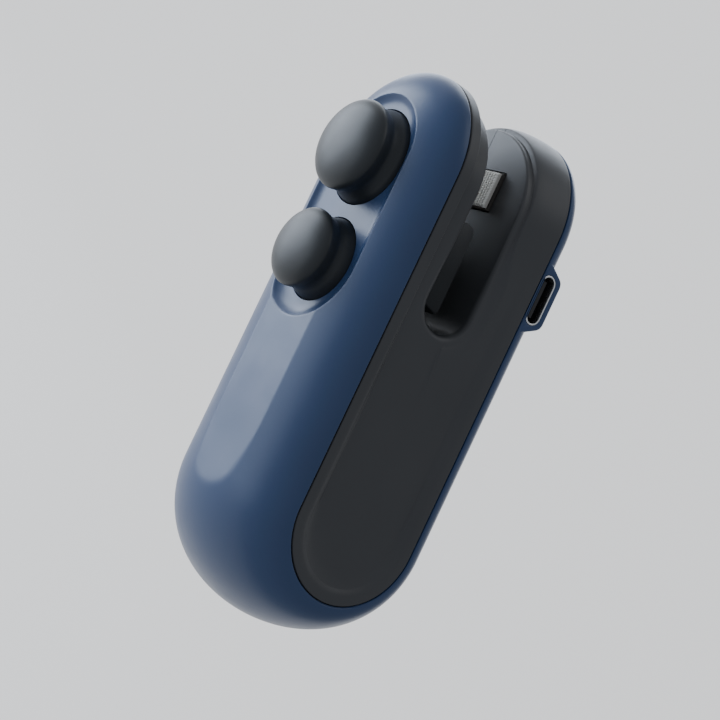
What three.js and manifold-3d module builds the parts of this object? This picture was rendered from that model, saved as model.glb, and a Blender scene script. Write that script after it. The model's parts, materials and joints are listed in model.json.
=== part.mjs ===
// Handheld bag heat sealer: a U-shaped outer band clamps two side covers, whose forked arms form the bag slot.
// Pressing the large knob drives a padded shoe across the slot onto the heater in the back arm.
//
// The sealer is modelled upright, in millimetres: +X towards the charging socket's side, -Y towards the knobs,
// +Z from the round end up to the two arm tips. The last lines lay it down on its flat left side.

import * as THREE from 'three';
import { mergeVertices } from 'three/addons/utils/BufferGeometryUtils.js';
import Module from 'manifold-3d';

const wasm = await Module();
wasm.setup();

// ---------- driving dimensions ----------

const GAP = 0.3; // between pieces that touch
const WALL = 1.8; // outer band
const COVER_WALL = 1.6;

const HALF_WIDTH = 16;
const SEAM_Y = 12.4; // half depth of the core between the front and back seams
const SEAM_END_Z = 7.5; // lowest point of the seam
const FRONT_BULGE = 8; // how far the band stands out from the seam at x = 0
const BACK_BULGE = 6.2;
const END_BULGE = 7.5;
const FRONT_FACE_Y = -19.8; // flat facet cut across the front bulge
const END_ARC_Z = SEAM_END_Z + SEAM_Y;
const TIP_ARC_Z = 77.7;
const TIP_HEIGHT = 16.4;
const TOP_Z = TIP_ARC_Z + TIP_HEIGHT;

const SLOT = { front: -6.4, back: 2.9, bottom: 54.6 };
const SLOT_RADIUS = (SLOT.back - SLOT.front) / 2;
const SLOT_MID_Y = (SLOT.back + SLOT.front) / 2;
const SLOT_ARC_Z = SLOT.bottom + SLOT_RADIUS;
const LIP = { halfWidth: 15, arcZ: 77, height: 14.9, front: -10.3, back: 4.5 }; // inset faces beside the slot
const CROWN = [[0.86, 4.2], [0.86, 4.5], [0.42, 5.7], [0.17, 7.5], [0.05, 9.6], [0, 12.6]]; // drop of the back arm's dome, by y
const DISH = { depth: 0.8, border: 2.1, topZ: 74 }; // shallow dish in each side cover

const RECESS = { floorY: -18.05, radius: 10.9, lowZ: 57.9, highZ: 77.6, slope: 1.6, depth: 1.8, wallY: -16.5 };
const KNOBS = {
  sealing: { z: 76.4, base: 8.5, waist: 7.6, cap: 8.0, capHeight: 5.2, dome: 2.7, flange: 9.3 },
  power: { z: 57.9, base: 7.3, waist: 6.5, cap: 6.9, capHeight: 5.2, dome: 2.3, flange: 8.1 },
};
const BORE_CLEARANCE = 0.25;
const KNOB_SKIRT = 2.8; // depth of a knob below the recess floor
const STEM_RADIUS = 2.2;

const HEATER = { z: 81, halfX: 7.1, halfZ: 3.15, faceY: 1.45, tapeThickness: 0.3, tapeDepth: 0.9 };
const HEATER_BASE = { halfX: 7.3, halfZ: 3.4, frontY: 2.45, backY: 4.9, grooveHalfX: 6, grooveHalfZ: 1.2 };
const SHOE = { lowZ: 73.7, highZ: 85.6, halfX: 7.5, backY: -6.1, thickness: 1.5 };
const PAD = { thickness: 1.2, halfX: 7, halfZ: 3.6 };
const GUIDE = { halfX: 12, frontY: -6.1, backY: -1.3, lowZ: 57.3, highZ: 73.2, corner: 1.6 };

const SOCKET = { y: 14.2, z: 67.8, length: 8.94, width: 3.26, depth: 7.35, wall: 0.3 }; // USB-C receptacle
const SOCKET_BOSS = { backY: 17.1, halfZ: 6.8, backHalfZ: 4.4, chamferY: 16.2, innerX: 8.2 };
const BOARD = { frontY: 10.9, backY: 12.0, lowX: -13, highX: 13.3, lowZ: 30, highZ: 75.5 };
const SWITCH_BOARD = { frontY: -9.6, backY: -8.6, halfX: 8, lowZ: 52.5, highZ: 64.5 };
const SWITCH = { half: 2.6, frontY: -12.6, boreRadius: 1.75, plungerRadius: 1.5, plungerTopY: -13.7 };
const CELL = { radius: 9, y: -1, lowZ: 12.5, highZ: 47.5 }; // 18350 lithium cell
const SCREWS = [
  { y: -1, z: 10 },
  { y: -8.4, z: 49.8 },
  { y: 5.6, z: 50.4 },
  { y: 7.9, z: 82.5 },
];
const SCREW = { radius: 0.8, headRadius: 1.4, headHeight: 1.0, seatX: -13.2, length: 18, bossRadius: 2.3 };
const DRIVER_CROSS = { halfLength: 0.9, halfWidth: 0.2, depth: 0.5 };
const PACKAGES = {
  charge_chip: { x: [-6, -2], z: [60, 64], height: 1.1, finish: 'chip' },
  control_chip: { x: [2, 8], z: [52, 58], height: 1.2, finish: 'chip' },
};
const INDUCTOR = { x: [-9, -3], z: [66, 72], height: 2.9 };

// ---------- solids ----------

const X = new THREE.Vector3(1, 0, 0);
const Y = new THREE.Vector3(0, 1, 0);
const Z = new THREE.Vector3(0, 0, 1);

function facesOutward(positions, triangles) {
  const a = new THREE.Vector3();
  const b = new THREE.Vector3();
  const c = new THREE.Vector3();
  let volume = 0;
  for (let i = 0; i < triangles.length; i += 3) {
    a.fromArray(positions, 3 * triangles[i]);
    b.fromArray(positions, 3 * triangles[i + 1]);
    c.fromArray(positions, 3 * triangles[i + 2]);
    volume += a.dot(b.cross(c));
  }
  return volume > 0;
}

// A closed three.js geometry as a manifold solid, with its faces pointing out.
function solid(geometry) {
  geometry.deleteAttribute('normal');
  geometry.deleteAttribute('uv');
  const merged = mergeVertices(geometry, 1e-4);
  const positions = merged.attributes.position.array;
  const triangles = [];
  for (let i = 0; i < merged.index.count; i += 3) {
    const [p, q, r] = merged.index.array.slice(i, i + 3);
    if (p !== q && q !== r && r !== p) triangles.push(p, q, r);
  }
  if (!facesOutward(positions, triangles)) triangles.reverse();
  const mesh = new wasm.Mesh({
    numProp: 3,
    vertProperties: new Float32Array(positions),
    triVerts: new Uint32Array(triangles),
  });
  return new wasm.Manifold(mesh);
}

// Outline in (y, z), extruded along X.
function prismX(shape, fromX, toX, curveSegments = 8) {
  const geometry = new THREE.ExtrudeGeometry(shape, { depth: toX - fromX, bevelEnabled: false, curveSegments });
  geometry.applyMatrix4(new THREE.Matrix4().makeBasis(Y, Z, X));
  return solid(geometry.translate(fromX, 0, 0));
}

// Outline in (x, z), extruded along Y.
function prismY(shape, fromY, toY, curveSegments = 8) {
  const geometry = new THREE.ExtrudeGeometry(shape, { depth: toY - fromY, bevelEnabled: false, curveSegments });
  geometry.applyMatrix4(new THREE.Matrix4().makeBasis(X, Z, Y.clone().negate()));
  return solid(geometry.translate(0, toY, 0));
}

function box([x0, x1], [y0, y1], [z0, z1]) {
  const geometry = new THREE.BoxGeometry(x1 - x0, y1 - y0, z1 - z0);
  return solid(geometry.translate((x0 + x1) / 2, (y0 + y1) / 2, (z0 + z1) / 2));
}

function rodX(radius, fromX, toX, y, z, sides = 20) {
  const geometry = new THREE.CylinderGeometry(radius, radius, toX - fromX, sides).rotateZ(Math.PI / 2);
  return solid(geometry.translate((fromX + toX) / 2, y, z));
}

function rodY(radius, fromY, toY, x, z, sides = 28) {
  const geometry = new THREE.CylinderGeometry(radius, radius, toY - fromY, sides);
  return solid(geometry.translate(x, (fromY + toY) / 2, z));
}

// Profile of [radius, y] pairs turned about the line x = 0, z = axisZ.
function turnedY(profile, axisZ, sides = 32) {
  const points = profile.map(([radius, y]) => new THREE.Vector2(radius, y));
  return solid(new THREE.LatheGeometry(points, sides).translate(0, 0, axisZ));
}

function roundedRect(lowU, highU, lowV, highV, radius) {
  const shape = new THREE.Shape();
  shape.moveTo(lowU + radius, lowV);
  shape.lineTo(highU - radius, lowV);
  shape.absarc(highU - radius, lowV + radius, radius, -Math.PI / 2, 0);
  shape.lineTo(highU, highV - radius);
  shape.absarc(highU - radius, highV - radius, radius, 0, Math.PI / 2);
  shape.lineTo(lowU + radius, highV);
  shape.absarc(lowU + radius, highV - radius, radius, Math.PI / 2, Math.PI);
  shape.lineTo(lowU, lowV + radius);
  shape.absarc(lowU + radius, lowV + radius, radius, Math.PI, 1.5 * Math.PI);
  return shape;
}

function wire(points, radius, steps, sides = 6) {
  const path = new THREE.CatmullRomCurve3(points.map((p) => new THREE.Vector3(...p)));
  return tube(path, radius, steps, sides);
}

function tube(path, radius, steps, sides) {
  const section = new THREE.Shape();
  for (let i = 0; i < sides; i += 1) {
    const angle = (2 * Math.PI * i) / sides;
    const [u, v] = [radius * Math.cos(angle), radius * Math.sin(angle)];
    if (i === 0) section.moveTo(u, v);
    else section.lineTo(u, v);
  }
  return solid(new THREE.ExtrudeGeometry(section, { steps, extrudePath: path }));
}

class Helix extends THREE.Curve {
  constructor(radius, fromY, toY, turns, axisZ) {
    super();
    Object.assign(this, { radius, fromY, toY, turns, axisZ });
  }

  getPoint(t, target = new THREE.Vector3()) {
    const angle = 2 * Math.PI * this.turns * t;
    const y = THREE.MathUtils.lerp(this.fromY, this.toY, t);
    return target.set(this.radius * Math.cos(angle), y, this.axisZ + this.radius * Math.sin(angle));
  }
}

// ---------- outlines ----------

// Stadium in (y, z): half-round end below, straight sides up to topZ. grow moves it outwards.
function stadium(grow, topZ) {
  const half = SEAM_Y + grow;
  const shape = new THREE.Shape();
  shape.moveTo(half, topZ);
  shape.lineTo(-half, topZ);
  shape.lineTo(-half, END_ARC_Z);
  shape.absarc(0, END_ARC_Z, half, Math.PI, 2 * Math.PI);
  return shape;
}

// Slot outline in (y, z), open past the tips. grow moves it outwards.
function slotOutline(grow) {
  const radius = SLOT_RADIUS + grow;
  const shape = new THREE.Shape();
  shape.moveTo(SLOT_MID_Y + radius, TOP_Z + 9);
  shape.lineTo(SLOT_MID_Y - radius, TOP_Z + 9);
  shape.lineTo(SLOT_MID_Y - radius, SLOT_ARC_Z);
  shape.absarc(SLOT_MID_Y, SLOT_ARC_Z, radius, Math.PI, 2 * Math.PI);
  return shape;
}

// Front view of an arm in (x, z): straight sides and a half-elliptical tip.
function tipOutline(halfWidth, arcZ, height, lowZ) {
  const shape = new THREE.Shape();
  shape.moveTo(-halfWidth, lowZ);
  shape.lineTo(halfWidth, lowZ);
  shape.lineTo(halfWidth, arcZ);
  shape.absellipse(0, arcZ, halfWidth, height, 0, Math.PI);
  return shape;
}

// Two circles on the centre line and the band between them, in (x, z).
function racetrack(radius, lowZ, highZ) {
  const shape = new THREE.Shape();
  shape.moveTo(radius, lowZ);
  shape.lineTo(radius, highZ);
  shape.absarc(0, highZ, radius, 0, Math.PI);
  shape.lineTo(-radius, lowZ);
  shape.absarc(0, lowZ, radius, Math.PI, 2 * Math.PI);
  return shape;
}

// ---------- body form ----------

// Closed outline in the plane at x of the rounded body, moved inwards by inset.
function bodyRing(x, inset) {
  const halfWidth = HALF_WIDTH - inset;
  const swell = Math.sqrt(Math.max(1 - (x / halfWidth) ** 2, 0.0004));
  const front = -SEAM_Y - (FRONT_BULGE - inset) * swell;
  const back = SEAM_Y + (BACK_BULGE - inset) * swell;
  const end = SEAM_Y + (END_BULGE - inset) * swell;
  const tip = (TIP_HEIGHT - inset) * swell;
  const ring = [];
  const endSteps = 24;
  const cornerSteps = 8;
  for (let i = 0; i <= endSteps; i += 1) {
    const angle = (Math.PI * i) / endSteps;
    const y = (front + back) / 2 - ((back - front) / 2) * Math.cos(angle);
    ring.push(new THREE.Vector3(x, y, END_ARC_Z - end * Math.sin(angle)));
  }
  for (let i = 0; i <= cornerSteps; i += 1) {
    const angle = (0.5 * Math.PI * i) / cornerSteps;
    const y = SEAM_Y + (back - SEAM_Y) * Math.cos(angle);
    ring.push(new THREE.Vector3(x, y, TIP_ARC_Z + tip * Math.sin(angle)));
  }
  for (let i = cornerSteps; i >= 0; i -= 1) {
    const angle = (0.5 * Math.PI * i) / cornerSteps;
    const y = -SEAM_Y + (front + SEAM_Y) * Math.cos(angle);
    ring.push(new THREE.Vector3(x, y, TIP_ARC_Z + tip * Math.sin(angle)));
  }
  return ring;
}

// Skin stretched over a row of closed rings, with a fan of triangles on each end.
function loft(rings) {
  const count = rings[0].length;
  const points = rings.flat();
  const triangles = [];
  for (let layer = 0; layer + 1 < rings.length; layer += 1) {
    for (let i = 0; i < count; i += 1) {
      const a = layer * count + i;
      const b = layer * count + ((i + 1) % count);
      triangles.push(a, b, a + count, b, b + count, a + count);
    }
  }
  for (const [layer, flip] of [[0, true], [rings.length - 1, false]]) {
    const centre = points.length;
    points.push(rings[layer].reduce((sum, p) => sum.add(p), new THREE.Vector3()).divideScalar(count));
    for (let i = 0; i < count; i += 1) {
      const a = layer * count + i;
      const b = layer * count + ((i + 1) % count);
      triangles.push(centre, ...(flip ? [b, a] : [a, b]));
    }
  }
  const geometry = new THREE.BufferGeometry().setFromPoints(points);
  geometry.setIndex(triangles);
  return solid(geometry);
}

function bodyForm(inset, layers) {
  const rings = [];
  for (let i = 0; i <= layers; i += 1) {
    const angle = (Math.PI * i) / layers;
    rings.push(bodyRing(-(HALF_WIDTH - inset) * Math.cos(angle), inset));
  }
  return loft(rings);
}

// ---------- outer band ----------

// Racetrack-shaped ring in the plane at y, for the recess.
function recessRing(radius, y) {
  const { lowZ, highZ } = RECESS;
  return racetrack(radius, lowZ, highZ).getPoints(12).slice(0, -1).map((p) => new THREE.Vector3(p.x, y, p.y));
}

// Flat floor, a wall that slopes up to the facet, and a straight shaft in front of them.
function recessCutter() {
  const { floorY, radius, slope, depth } = RECESS;
  const wallTop = floorY - depth;
  const rings = [recessRing(radius - slope, floorY), recessRing(radius, wallTop), recessRing(radius, wallTop - 5)];
  return loft(rings);
}

// Boss round the charging socket in (y, z): straight along the seam, with slanted ends and a chamfered back.
function bossOutline() {
  const { backY, halfZ, backHalfZ, chamferY } = SOCKET_BOSS;
  const chamferHalfZ = THREE.MathUtils.mapLinear(chamferY, SEAM_Y, backY, halfZ, backHalfZ);
  const upper = [[SEAM_Y + GAP / 2, halfZ], [chamferY, chamferHalfZ], [backY, backHalfZ - 0.7]];
  const lower = upper.map(([y, half]) => [y, -half]).reverse();
  return new THREE.Shape([...lower, ...upper].map(([y, offset]) => new THREE.Vector2(y, SOCKET.z + offset)));
}

function outerBand() {
  const farX = [-HALF_WIDTH - 1, HALF_WIDTH + 1];
  const outside = bodyForm(0, 20).intersect(box(farX, [FRONT_FACE_Y, 30], [-9, TOP_Z + 9]));
  const behindFacet = box(farX, [FRONT_FACE_Y + WALL, 30], [-9, 45]);
  const behindRecess = box(farX, [RECESS.wallY, 30], [45 - GAP, TOP_Z + 9]);
  const hollow = bodyForm(WALL, 10).intersect(behindFacet.add(behindRecess));
  const core = prismX(stadium(GAP / 2, TOP_Z + 9), ...farX, 14);
  let band = outside.subtract(hollow).subtract(core).subtract(recessCutter());
  band = band.add(prismX(bossOutline(), SOCKET_BOSS.innerX, HALF_WIDTH));
  for (const knob of Object.values(KNOBS)) {
    band = band.subtract(rodY(knob.base + BORE_CLEARANCE, -25, RECESS.wallY + 1, 0, knob.z, 32));
  }
  return band.subtract(socketHole(0.15));
}

function socketHole(clearance) {
  const { y, z, length, width } = SOCKET;
  const [halfY, halfZ] = [width / 2 + clearance, length / 2 + clearance];
  const outline = roundedRect(y - halfY, y + halfY, z - halfZ, z + halfZ, halfY - 0.01);
  return prismX(outline, 5, HALF_WIDTH + 1, 4);
}

// ---------- side covers ----------

// Everything outside the inset lips, beside the slot on each arm.
function lipSteps() {
  const farX = HALF_WIDTH + 2;
  const around = new THREE.Shape();
  around.moveTo(-farX, DISH.topZ - 12);
  around.lineTo(farX, DISH.topZ - 12);
  around.lineTo(farX, TOP_Z + 3);
  around.lineTo(-farX, TOP_Z + 3);
  const lip = prismY(tipOutline(LIP.halfWidth, LIP.arcZ, LIP.height, 0), LIP.front - 1, LIP.back + 1, 12);
  return prismY(around, LIP.front, LIP.back).subtract(lip);
}

// Everything outside the back arm's dome, which curves down from the seam towards the slot.
function crownCut() {
  const farX = HALF_WIDTH + 2;
  const lowZ = DISH.topZ - 12;
  const rings = CROWN.map(([drop, y]) => {
    const halfWidth = THREE.MathUtils.lerp(HALF_WIDTH, LIP.halfWidth, drop);
    const arcZ = THREE.MathUtils.lerp(TIP_ARC_Z, LIP.arcZ, drop);
    const height = THREE.MathUtils.lerp(TIP_HEIGHT, LIP.height, drop);
    const outline = tipOutline(halfWidth, arcZ, height, lowZ - 1).getPoints(14).slice(0, -1);
    return outline.map((p) => new THREE.Vector3(p.x, y, p.y));
  });
  return box([-farX, farX], [LIP.back - 0.15, SEAM_Y], [lowZ, TOP_Z + 3]).subtract(loft(rings));
}

// Shallow dish in the outer face of the cover on one side (side is 1 or -1).
function dish(side) {
  const half = SEAM_Y - DISH.border;
  const outline = new THREE.Shape();
  outline.moveTo(-half, DISH.topZ);
  outline.lineTo(-half, END_ARC_Z);
  outline.absarc(0, END_ARC_Z, half, Math.PI, 2 * Math.PI);
  outline.lineTo(half, DISH.topZ - 8);
  outline.absarc(half - 4, DISH.topZ - 8, 4, 0, Math.PI / 2);
  const ends = [side * (HALF_WIDTH - DISH.depth), side * (HALF_WIDTH + 2)].sort((a, b) => a - b);
  return prismX(outline, ...ends, 10);
}

function cover(side) {
  const farX = HALF_WIDTH + 2;
  const innerX = HALF_WIDTH - DISH.depth - COVER_WALL;
  const core = prismX(stadium(-GAP / 2, TOP_Z + 9), -farX, farX, 14);
  const tips = prismY(tipOutline(HALF_WIDTH, TIP_ARC_Z, TIP_HEIGHT, -9), -30, 30, 14);
  const innerHeight = LIP.height + LIP.arcZ - COVER_WALL - TIP_ARC_Z;
  const innerTips = prismY(tipOutline(innerX, TIP_ARC_Z, innerHeight, -9), -30, 30, 9);
  const hollow = innerTips.subtract(prismX(slotOutline(COVER_WALL), -farX, farX, 8));
  const envelope = core.intersect(tips).subtract(prismX(slotOutline(0), -farX, farX, 9));
  let part = envelope.subtract(hollow);
  for (const { y, z } of SCREWS) {
    part = part.add(envelope.intersect(rodX(SCREW.bossRadius, -HALF_WIDTH, HALF_WIDTH, y, z)));
  }
  part = part.subtract(lipSteps()).subtract(crownCut()).subtract(dish(side));
  const ownHalf = side > 0 ? [GAP / 2, farX] : [-farX, -GAP / 2];
  return part.intersect(box(ownHalf, [-30, 30], [-9, TOP_Z + 9])).subtract(coverHoles(side));
}

// Holes through a cover: the shoe's stem, the heater's pocket, the screws and the socket.
function coverHoles(side) {
  const stem = rodY(STEM_RADIUS + 0.35, SLOT.front - COVER_WALL - 1, SLOT.front + 1, 0, KNOBS.sealing.z, 24);
  const [pocketX, pocketZ] = [HEATER_BASE.halfX + GAP, HEATER_BASE.halfZ + GAP];
  const pocket = box([-pocketX, pocketX], [SLOT.back - 1, SLOT.back + COVER_WALL + 1],
    [HEATER.z - pocketZ, HEATER.z + pocketZ]);
  let holes = stem.add(pocket).add(socketHole(0.35));
  for (const { y, z } of SCREWS) {
    if (side > 0) {
      holes = holes.add(rodX(SCREW.radius + 0.12, -1, 8, y, z, 12));
    } else {
      holes = holes.add(rodX(SCREW.radius + 0.3, -HALF_WIDTH - 1, 1, y, z, 12));
      holes = holes.add(rodX(SCREW.headRadius + 0.25, -HALF_WIDTH - 1, SCREW.seatX, y, z, 16));
    }
  }
  return holes;
}

function coverScrew({ y, z }) {
  const headX = SCREW.seatX - SCREW.headHeight - 0.05;
  const head = rodX(SCREW.headRadius, headX, headX + SCREW.headHeight, y, z, 16);
  const shank = rodX(SCREW.radius, headX + 0.5, headX + SCREW.length, y, z, 10);
  const { halfLength, halfWidth, depth } = DRIVER_CROSS;
  const intoHead = [headX - 1, headX + depth];
  const driverSlot = box(intoHead, [y - halfLength, y + halfLength], [z - halfWidth, z + halfWidth]);
  const crossSlot = box(intoHead, [y - halfWidth, y + halfWidth], [z - halfLength, z + halfLength]);
  return head.add(shank).subtract(driverSlot).subtract(crossSlot);
}

// ---------- knobs and shoe ----------

// Mushroom knob: domed cap, waist, flared base in the bore and a flange that keeps it in. Hollow from behind.
function knobProfile({ base, waist, cap, capHeight, dome, flange }) {
  const floor = RECESS.floorY;
  const profile = [[0, floor - capHeight - dome]];
  const domeSteps = 6;
  for (let i = 1; i <= domeSteps; i += 1) {
    const angle = (0.5 * Math.PI * i) / domeSteps;
    profile.push([cap * Math.sin(angle), floor - capHeight - dome * Math.cos(angle)]);
  }
  profile.push([cap - 0.15, floor - capHeight + 0.5], [waist + 0.15, floor - 3.6], [waist, floor - 2.8]);
  profile.push([waist + 0.25, floor - 2.1], [base - 0.45, floor - 1.3], [base, floor - 0.6]);
  profile.push([base, floor + KNOB_SKIRT - 1], [flange, floor + KNOB_SKIRT - 1]);
  profile.push([flange, floor + KNOB_SKIRT], [base - 1.6, floor + KNOB_SKIRT]);
  profile.push([waist - 1.6, floor - 1.2], [waist - 1.6, floor - 4.4], [0, floor - 4.9]);
  return profile;
}

function sealingKnob() {
  const stemTop = RECESS.floorY - 5.4;
  const stemEnd = SLOT.front - 0.1;
  const stem = rodY(STEM_RADIUS, stemTop, stemEnd, 0, KNOBS.sealing.z, 20);
  const pilot = rodY(0.8, stemEnd - 5, stemEnd + 1, 0, KNOBS.sealing.z, 12);
  return turnedY(knobProfile(KNOBS.sealing), KNOBS.sealing.z).add(stem).subtract(pilot);
}

function powerKnob() {
  const post = rodY(1.4, RECESS.floorY - 5.4, SWITCH.plungerTopY - 0.3, 0, KNOBS.power.z, 16);
  return turnedY(knobProfile(KNOBS.power), KNOBS.power.z).add(post);
}

function pressShoe() {
  const { lowZ, highZ, halfX, backY, thickness } = SHOE;
  const plate = prismY(roundedRect(-halfX, halfX, lowZ, highZ, 1.5), backY, backY + thickness, 2);
  return plate.subtract(rodY(1.1, backY - 1, backY + 3, 0, KNOBS.sealing.z, 16));
}

function pressPad() {
  const face = SHOE.backY + SHOE.thickness + 0.1;
  const outline = roundedRect(-PAD.halfX, PAD.halfX, HEATER.z - PAD.halfZ, HEATER.z + PAD.halfZ, 1);
  const pad = prismY(outline, face, face + PAD.thickness, 2);
  return pad.subtract(rodY(2.1, face - 1, face + 3, 0, KNOBS.sealing.z, 20));
}

function shoeScrew() {
  const headY = SHOE.backY + SHOE.thickness + 0.1;
  const head = rodY(1.7, headY, headY + 0.9, 0, KNOBS.sealing.z, 20);
  const shank = rodY(0.65, headY - 4.5, headY + 0.4, 0, KNOBS.sealing.z, 12);
  return head.add(shank);
}

function spring(radius, wireRadius, fromY, toY, turns, axisZ) {
  const path = new Helix(radius, fromY + wireRadius, toY - wireRadius, turns, axisZ);
  return tube(path, wireRadius, Math.round(turns * 11), 5);
}

// ---------- heater, guide ----------

function heaterBase() {
  const { halfX, halfZ, frontY, backY, grooveHalfX, grooveHalfZ } = HEATER_BASE;
  const { z } = HEATER;
  const block = box([-halfX, halfX], [frontY, backY], [z - halfZ, z + halfZ]);
  const groove = box([-grooveHalfX, grooveHalfX], [frontY - 1, frontY + 0.2], [z - grooveHalfZ, z + grooveHalfZ]);
  return block.subtract(groove);
}

function heaterRibbon() {
  const { z } = HEATER;
  const { frontY, grooveHalfX, grooveHalfZ } = HEATER_BASE;
  return box([-grooveHalfX + 0.4, grooveHalfX - 0.4], [frontY - 0.15, frontY + 0.1],
    [z - grooveHalfZ + 0.2, z + grooveHalfZ - 0.2]);
}

// Woven tape over the ribbon, bent back at its two long edges.
function heaterTape() {
  const { z, halfX, halfZ, faceY, tapeThickness, tapeDepth } = HEATER;
  const outer = box([-halfX, halfX], [faceY, faceY + tapeDepth], [z - halfZ, z + halfZ]);
  const inner = box([-halfX - 1, halfX + 1], [faceY + tapeThickness, faceY + 2],
    [z - halfZ + tapeThickness, z + halfZ - tapeThickness]);
  return outer.subtract(inner);
}

function bagGuide() {
  const { halfX, frontY, backY, lowZ, highZ, corner } = GUIDE;
  const outline = new THREE.Shape();
  outline.moveTo(frontY, lowZ + 1.2);
  outline.lineTo(backY, lowZ);
  outline.lineTo(backY, highZ - corner);
  outline.absarc(backY - corner, highZ - corner, corner, 0, Math.PI / 2);
  outline.lineTo(frontY, highZ);
  return prismX(outline, -halfX, halfX, 3);
}

// ---------- electrics ----------

function usbShell() {
  const { y, z, length, width, depth, wall } = SOCKET;
  const outline = (inset) => roundedRect(y - width / 2 + inset, y + width / 2 - inset,
    z - length / 2 + inset, z + length / 2 - inset, width / 2 - inset - 0.01);
  const shell = prismX(outline(0), HALF_WIDTH - depth, HALF_WIDTH, 4);
  return shell.subtract(prismX(outline(wall), HALF_WIDTH - depth + 0.8, HALF_WIDTH + 1, 4));
}

function usbTongue() {
  const { y, z, depth } = SOCKET;
  return box([HALF_WIDTH - depth + 1.1, HALF_WIDTH - 0.9], [y - 0.35, y + 0.35], [z - 3.3, z + 3.3]);
}

function circuitBoard() {
  const { frontY, backY, lowX, highX, lowZ, highZ } = BOARD;
  const board = prismY(roundedRect(lowX, highX, lowZ, highZ, 1), frontY, backY, 2);
  const holes = [-9.5, 11].map((x) => rodY(1.1, frontY - 1, backY + 1, x, highZ - 42, 12));
  return holes.reduce((part, hole) => part.subtract(hole), board);
}

function switchBody() {
  const z = KNOBS.power.z;
  const { half, frontY, boreRadius } = SWITCH;
  const body = box([-half, half], [frontY, SWITCH_BOARD.frontY - 0.1], [z - half, z + half]);
  return body.subtract(rodY(boreRadius, frontY - 1, SWITCH_BOARD.frontY - 0.5, 0, z, 16));
}

function switchBoard() {
  const { frontY, backY, halfX, lowZ, highZ } = SWITCH_BOARD;
  return prismY(roundedRect(-halfX, halfX, lowZ, highZ, 1), frontY, backY, 2);
}

function batteryCell() {
  const { radius, y, lowZ, highZ } = CELL;
  const profile = [[0, 0], [radius - 0.6, 0], [radius, 0.6], [radius, highZ - lowZ - 1.6]];
  profile.push([radius - 0.8, highZ - lowZ - 0.8], [3, highZ - lowZ - 0.8], [3, highZ - lowZ], [0, highZ - lowZ]);
  const points = profile.map(([r, h]) => new THREE.Vector2(r, h));
  const cell = new THREE.LatheGeometry(points, 24).rotateX(Math.PI / 2).translate(0, y, lowZ);
  return solid(cell);
}

// Half ring that holds the cell against the circuit board's side.
function cellCradle() {
  const { radius, y } = CELL;
  const ring = new THREE.Shape();
  const [inner, outer] = [radius + 0.3, radius + 1.5];
  ring.absarc(0, y, outer, 0.12 * Math.PI, 0.88 * Math.PI);
  ring.absarc(0, y, inner, 0.88 * Math.PI, 0.12 * Math.PI, true);
  const geometry = new THREE.ExtrudeGeometry(ring, { depth: 22, bevelEnabled: false, curveSegments: 9 });
  return solid(geometry.translate(0, 0, 19));
}

// ---------- assembly ----------

const FINISH = {
  band: { color: 0x2b3f5e, roughness: 0.38, metalness: 0 },
  cover: { color: 0x2b2d31, roughness: 0.5, metalness: 0 },
  knob: { color: 0x2f3538, roughness: 0.45, metalness: 0 },
  steel: { color: 0xb9bcc0, roughness: 0.3, metalness: 1 },
  tape: { color: 0xe9e6de, roughness: 0.9, metalness: 0 },
  pad: { color: 0xc9c4b8, roughness: 0.7, metalness: 0 },
  ceramic: { color: 0x3a3531, roughness: 0.8, metalness: 0 },
  board: { color: 0x1d5a3a, roughness: 0.5, metalness: 0.1 },
  chip: { color: 0x17181a, roughness: 0.4, metalness: 0 },
  cell: { color: 0x3c7a4a, roughness: 0.4, metalness: 0 },
  redWire: { color: 0xa82020, roughness: 0.5, metalness: 0 },
  blackWire: { color: 0x1b1b1b, roughness: 0.5, metalness: 0 },
};

const sealer = new THREE.Group();

function add(name, manifold, finish) {
  const { vertProperties, triVerts } = manifold.getMesh();
  const geometry = new THREE.BufferGeometry();
  geometry.setAttribute('position', new THREE.BufferAttribute(vertProperties, 3));
  geometry.setIndex(new THREE.BufferAttribute(triVerts, 1));
  const mesh = new THREE.Mesh(geometry, new THREE.MeshStandardMaterial(FINISH[finish]));
  mesh.name = name;
  sealer.add(mesh);
}

add('outer_band', outerBand(), 'band');
add('right_cover', cover(1), 'cover');
add('left_cover', cover(-1), 'cover');
SCREWS.forEach((place, index) => add(`cover_screw_${index + 1}`, coverScrew(place), 'steel'));

const springSeat = SLOT.front - COVER_WALL - 0.2;
add('sealing_knob', sealingKnob(), 'knob');
add('sealing_spring', spring(4.2, 0.35, RECESS.floorY - 3.9, springSeat, 5, KNOBS.sealing.z), 'steel');
add('press_shoe', pressShoe(), 'cover');
add('press_pad', pressPad(), 'pad');
add('shoe_screw', shoeScrew(), 'steel');

add('power_knob', powerKnob(), 'knob');
const boardSeat = SWITCH_BOARD.frontY - 0.2;
add('power_spring', spring(4.25, 0.25, RECESS.floorY - 3.6, boardSeat, 4, KNOBS.power.z), 'steel');
add('switch_plunger', rodY(SWITCH.plungerRadius, SWITCH.plungerTopY, SWITCH.frontY + 0.9, 0, KNOBS.power.z, 16),
  'chip');
add('switch_body', switchBody(), 'chip');
add('switch_board', switchBoard(), 'board');

add('heater_base', heaterBase(), 'ceramic');
add('heater_ribbon', heaterRibbon(), 'steel');
add('heater_tape', heaterTape(), 'tape');
add('bag_guide', bagGuide(), 'cover');

add('circuit_board', circuitBoard(), 'board');
add('usb_shell', usbShell(), 'steel');
add('usb_tongue', usbTongue(), 'chip');
for (const [name, { x, z, height, finish }] of Object.entries(PACKAGES)) {
  const face = BOARD.frontY - 0.1;
  add(name, box(x, [face - height, face], z), finish);
}
const inductorFace = BOARD.backY + 0.1;
add('power_inductor', box(INDUCTOR.x, [inductorFace, inductorFace + INDUCTOR.height], INDUCTOR.z), 'ceramic');

add('battery_cell', batteryCell(), 'cell');
add('cell_cradle', cellCradle(), 'cover');

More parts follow.
